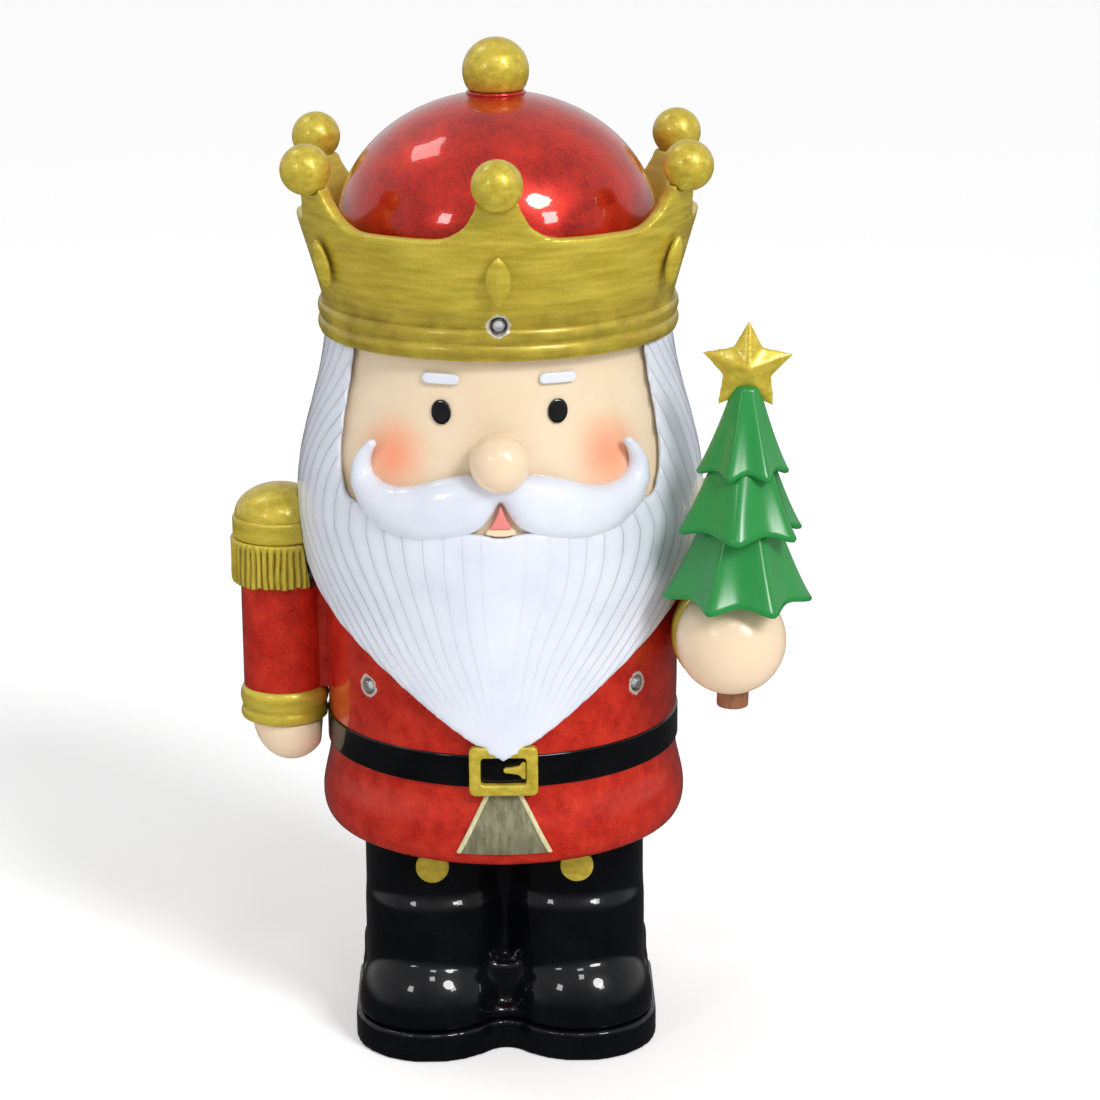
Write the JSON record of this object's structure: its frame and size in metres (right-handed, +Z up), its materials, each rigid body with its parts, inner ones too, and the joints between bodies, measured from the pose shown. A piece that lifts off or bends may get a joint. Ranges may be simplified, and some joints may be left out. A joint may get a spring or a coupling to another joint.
{
  "type": "nutcracker king figure with lamps",
  "caption": "Painted nutcracker king figure with crown, beard and belted coat, holding a small tree; battery lamps and switch in its base.",
  "frame": {"origin": "on the ground under the body's vertical axis, in the plane that the soles stand on", "axes": "+Z up through the finial, -Y the way the figure faces, +X towards the arm that holds the tree"},
  "size_m": [0.1448, 0.1174, 0.2553],
  "materials": {
    "black_gloss": "gloss black paint under clear lacquer",
    "gold": "brushed-on olive-gold metallic paint under clear lacquer",
    "red_gloss": "red metallic paint under clear lacquer",
    "silver_paint": "champagne-silver metallic paint",
    "skin": "warm cream paint under clear lacquer",
    "white_gloss": "white paint under clear lacquer",
    "mouth_pink": "pink paint",
    "green_metallic": "green metallic paint with fine flake",
    "trunk_brown": "brown paint",
    "black_plastic": "moulded black plastic",
    "steel": "plated steel",
    "battery_jacket": "plain printed-free jacket",
    "clear_lens": "water-clear epoxy",
    "wire": "insulated wire pair"
  },
  "bodies": {
    "figure": {"boots": "black_gloss", "boot_soles": "black_gloss", "boot_buttons": "gold", "base_plate": "black_plastic", "base_screws": "steel", "battery_tray": "black_plastic", "door_hinge_pin": "steel", "battery_1": "battery_jacket", "battery_2": "battery_jacket", "battery_3": "battery_jacket", "contact_springs": "steel", "contact_plates": "steel", "switch_body": "black_plastic", "coat_skirt": "red_gloss", "coat_torso": "red_gloss", "belt": "black_gloss", "belt_buckle": "gold", "buckle_prong": "gold", "placket": "silver_paint", "placket_trims": "gold", "head": "skin", "hair_and_beard": "white_gloss", "moustache": "white_gloss", "nose": "skin", "eyes": "black_gloss", "eyebrows": "white_gloss", "mouth": "mouth_pink", "lower_lip": "skin", "crown": "gold", "crown_band": "gold", "crown_balls": "gold", "crown_jewels": "gold", "cap": "red_gloss", "cap_collar": "red_gloss", "finial": "gold", "hanging_arm_epaulette": "gold", "hanging_arm_epaulette_band": "gold", "hanging_arm_fringe": "gold", "hanging_arm_sleeve": "red_gloss", "hanging_arm_cuff": "gold", "hanging_hand": "skin", "raised_arm_epaulette": "gold", "raised_arm_epaulette_band": "gold", "raised_arm_fringe": "gold", "raised_arm_sleeve": "red_gloss", "raised_arm_cuff": "gold", "raised_hand": "skin", "tree_trunk": "trunk_brown", "tree_lower_tier": "green_metallic", "tree_middle_tier": "green_metallic", "tree_upper_tier": "green_metallic", "tree_star": "gold", "crown_lamp": "clear_lens", "coat_lamps": "clear_lens", "lamp_wires": "wire"},
    "door": {"battery_door": "black_plastic"},
    "switch": {"switch_knob": "black_plastic"}
  },
  "joints": [
    {"name": "battery_door_hinge", "type": "hinge", "parent": "figure", "child": "door", "pos_m": [0, 0.0149, 0.0026], "axis": [1, 0, 0], "range_deg": [0, 95]},
    {"name": "power_switch", "type": "slide", "parent": "figure", "child": "switch", "axis": [1, 0, 0], "range_m": [0, 0.003]}
  ]
}
